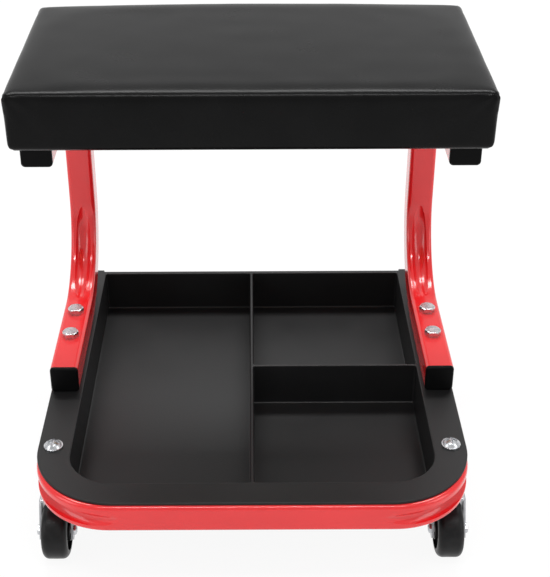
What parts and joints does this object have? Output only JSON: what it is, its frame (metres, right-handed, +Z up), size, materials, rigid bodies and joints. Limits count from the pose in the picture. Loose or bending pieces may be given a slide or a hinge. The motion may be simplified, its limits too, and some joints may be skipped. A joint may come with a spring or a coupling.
{
  "type": "rolling stool",
  "caption": "Low rolling workshop stool: padded seat on bent red tube legs over a compartment tool tray, standing on swivel casters.",
  "frame": {"origin": "on the floor, below the middle of the frame", "axes": "+X to the right seen from the open front, +Y from the open front to the uprights, +Z up"},
  "size_m": [0.369, 0.37, 0.4074],
  "materials": {
    "red_paint": "gloss powder coat",
    "black_cap": "satin moulded plastic",
    "tray_plastic": "fine textured moulding",
    "zinc": "bright zinc plate",
    "vinyl": "satin black vinyl",
    "foam": "open-cell foam",
    "plywood": "raw plywood",
    "wheel_black": "satin moulded plastic",
    "fork_zinc": "zinc plated sheet steel",
    "bearing_steel": "bright steel"
  },
  "bodies": {
    "frame": {"base_frame": "red_paint", "left_leg": "red_paint", "right_leg": "red_paint", "left_foot_cap": "black_cap", "right_foot_cap": "black_cap", "left_rail_cap": "black_cap", "right_rail_cap": "black_cap", "left_base_cap": "black_cap", "right_base_cap": "black_cap", "tool_tray": "tray_plastic", "leg_bolts": "zinc", "leg_washers": "zinc", "leg_nuts": "zinc", "caster_screws": "zinc", "screw_washers": "zinc", "seat_bolts": "zinc", "seat_washers": "zinc", "tee_nuts": "zinc", "seat_staples": "zinc", "seat_cover": "vinyl", "seat_foam": "foam", "seat_board": "plywood", "front_left_kingpin": "fork_zinc", "front_left_bearing_cup": "bearing_steel", "front_right_kingpin": "fork_zinc", "front_right_bearing_cup": "bearing_steel", "rear_left_kingpin": "fork_zinc", "rear_left_bearing_cup": "bearing_steel", "rear_right_kingpin": "fork_zinc", "rear_right_bearing_cup": "bearing_steel"},
    "front_left_swivel": {"front_left_fork": "fork_zinc", "front_left_bearing_balls": "bearing_steel", "front_left_axle_sleeve": "bearing_steel", "front_left_axle_bolt": "fork_zinc", "front_left_axle_nut": "fork_zinc"},
    "front_left_roll": {"front_left_wheel": "wheel_black"},
    "front_right_swivel": {"front_right_fork": "fork_zinc", "front_right_bearing_balls": "bearing_steel", "front_right_axle_sleeve": "bearing_steel", "front_right_axle_bolt": "fork_zinc", "front_right_axle_nut": "fork_zinc"},
    "front_right_roll": {"front_right_wheel": "wheel_black"},
    "rear_left_swivel": {"rear_left_fork": "fork_zinc", "rear_left_bearing_balls": "bearing_steel", "rear_left_axle_sleeve": "bearing_steel", "rear_left_axle_bolt": "fork_zinc", "rear_left_axle_nut": "fork_zinc"},
    "rear_left_roll": {"rear_left_wheel": "wheel_black"},
    "rear_right_swivel": {"rear_right_fork": "fork_zinc", "rear_right_bearing_balls": "bearing_steel", "rear_right_axle_sleeve": "bearing_steel", "rear_right_axle_bolt": "fork_zinc", "rear_right_axle_nut": "fork_zinc"},
    "rear_right_roll": {"rear_right_wheel": "wheel_black"}
  },
  "joints": [
    {"name": "front_left_swivel", "type": "hinge", "parent": "frame", "child": "front_left_swivel", "pos_m": [-0.1675, -0.11, 0.06], "axis": [0, 0, 1], "continuous": true},
    {"name": "front_left_roll", "type": "hinge", "parent": "front_left_swivel", "child": "front_left_roll", "pos_m": [-0.1675, -0.131, 0.0245], "axis": [1, 0, 0], "continuous": true},
    {"name": "front_right_swivel", "type": "hinge", "parent": "frame", "child": "front_right_swivel", "pos_m": [0.1675, -0.11, 0.06], "axis": [0, 0, 1], "continuous": true},
    {"name": "front_right_roll", "type": "hinge", "parent": "front_right_swivel", "child": "front_right_roll", "pos_m": [0.1675, -0.131, 0.0245], "axis": [1, 0, 0], "continuous": true},
    {"name": "rear_left_swivel", "type": "hinge", "parent": "frame", "child": "rear_left_swivel", "pos_m": [-0.1675, 0.16, 0.06], "axis": [0, 0, 1], "continuous": true},
    {"name": "rear_left_roll", "type": "hinge", "parent": "rear_left_swivel", "child": "rear_left_roll", "pos_m": [-0.1675, 0.139, 0.0245], "axis": [1, 0, 0], "continuous": true},
    {"name": "rear_right_swivel", "type": "hinge", "parent": "frame", "child": "rear_right_swivel", "pos_m": [0.1675, 0.16, 0.06], "axis": [0, 0, 1], "continuous": true},
    {"name": "rear_right_roll", "type": "hinge", "parent": "rear_right_swivel", "child": "rear_right_roll", "pos_m": [0.1675, 0.139, 0.0245], "axis": [1, 0, 0], "continuous": true}
  ]
}
